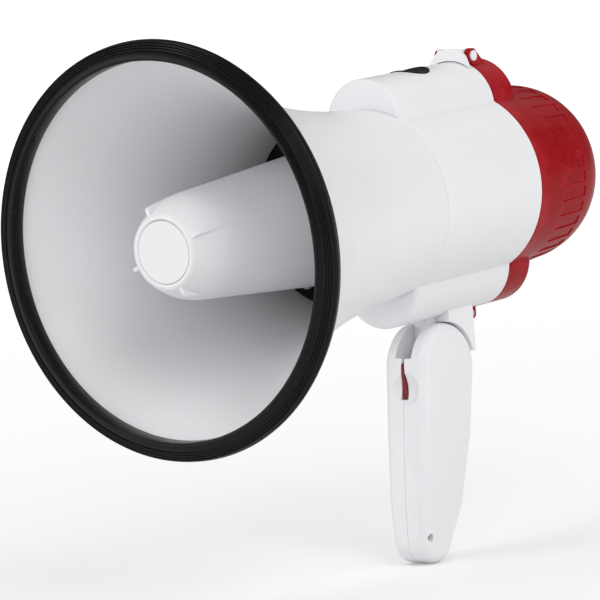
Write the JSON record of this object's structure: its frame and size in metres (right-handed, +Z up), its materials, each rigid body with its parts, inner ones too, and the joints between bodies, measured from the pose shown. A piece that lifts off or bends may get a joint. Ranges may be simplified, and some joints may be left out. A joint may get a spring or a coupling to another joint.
{
  "type": "handheld megaphone",
  "caption": "Flared loudhailer horn with a nose reflector, lobed battery body, hinged mouthpiece cover and folding pistol handle.",
  "frame": {"origin": "centre of the horn's mouth, on the front plane of the rubber rim", "axes": "+Y runs back along the horn to the mouthpiece, +Z is up from the handle to the latch, +X completes the right-handed set, to the left of someone who faces the mouth"},
  "size_m": [0.16, 0.2485, 0.2268],
  "materials": {
    "black_rubber": "ribbed black rubber with a soft sheen",
    "white_plastic": "satin white moulded plastic",
    "red_plastic": "semi-gloss deep red moulded plastic",
    "trigger_plastic": "dark red satin plastic",
    "dark_plastic": "satin black moulded plastic",
    "zinc_steel": "zinc-plated steel",
    "driver_steel": "black painted pressed steel",
    "cone_film": "thin amber film",
    "copper_wire": "enamelled copper winding",
    "ferrite": "sintered ferrite",
    "circuit_board": "green solder mask",
    "components": "moulded component bodies",
    "contact_metal": "nickel-plated spring steel",
    "cell_jacket": "printed cell jacket without lettering"
  },
  "bodies": {
    "body": {"rim_guard": "black_rubber", "horn_bell": "white_plastic", "reflector_cup": "white_plastic", "reflector_cap": "white_plastic", "reflector_screw": "zinc_steel", "throat_spider": "dark_plastic", "spider_screws": "zinc_steel", "driver_gasket": "black_rubber", "driver_frame": "driver_steel", "driver_diaphragm": "cone_film", "voice_coil": "copper_wire", "driver_top_plate": "driver_steel", "driver_magnet": "ferrite", "driver_yoke": "driver_steel", "amplifier_board": "circuit_board", "amplifier_parts": "components", "board_screws": "zinc_steel", "battery_tray": "dark_plastic", "tray_screws": "zinc_steel", "front_contacts": "contact_metal", "battery_cells": "cell_jacket", "body_shell": "white_plastic", "switch_bezel": "dark_plastic", "cover_hinge_pin": "zinc_steel", "handle_bracket": "white_plastic", "bracket_screws": "zinc_steel"},
    "rocker": {"mode_rocker": "dark_plastic"},
    "cover": {"rear_cover": "red_plastic", "rear_contacts": "contact_metal", "latch_pin": "white_plastic", "mic_boot": "black_rubber", "mic_capsule": "contact_metal", "mic_grille": "dark_plastic", "volume_control": "components"},
    "latch": {"latch_lever": "white_plastic"},
    "knob": {"volume_knob": "dark_plastic"},
    "handle": {"handle_left": "white_plastic", "handle_right": "white_plastic", "handle_screws": "zinc_steel", "fold_pin": "zinc_steel", "trigger_pin": "zinc_steel", "trigger_switch": "components", "trigger_spring": "zinc_steel"},
    "trigger": {"talk_trigger": "trigger_plastic"}
  },
  "joints": [
    {"name": "handle_fold", "type": "hinge", "parent": "body", "child": "handle", "pos_m": [0, 0.163, -0.07], "axis": [-1, 0, 0], "range_deg": [0, 60]},
    {"name": "trigger_pull", "type": "hinge", "parent": "handle", "child": "trigger", "pos_m": [0, 0.1504, -0.07], "axis": [1, 0, 0], "range_deg": [0, 4], "deforming": ["trigger_spring"]},
    {"name": "cover_open", "type": "hinge", "parent": "body", "child": "cover", "pos_m": [0, 0.1885, -0.0517], "axis": [-1, 0, 0], "range_deg": [0, 95]},
    {"name": "latch_lift", "type": "hinge", "parent": "cover", "child": "latch", "pos_m": [0, 0.2019, 0.052], "axis": [-1, 0, 0], "range_deg": [0, 30]},
    {"name": "mode_rock", "type": "hinge", "parent": "body", "child": "rocker", "pos_m": [0, 0.169, 0.0476], "axis": [-1, 0, 0], "range_deg": [0, 20]},
    {"name": "volume_turn", "type": "hinge", "parent": "cover", "child": "knob", "pos_m": [0, 0.223, -0.018], "axis": [0, 1, 0], "range_deg": [0, 270]}
  ]
}
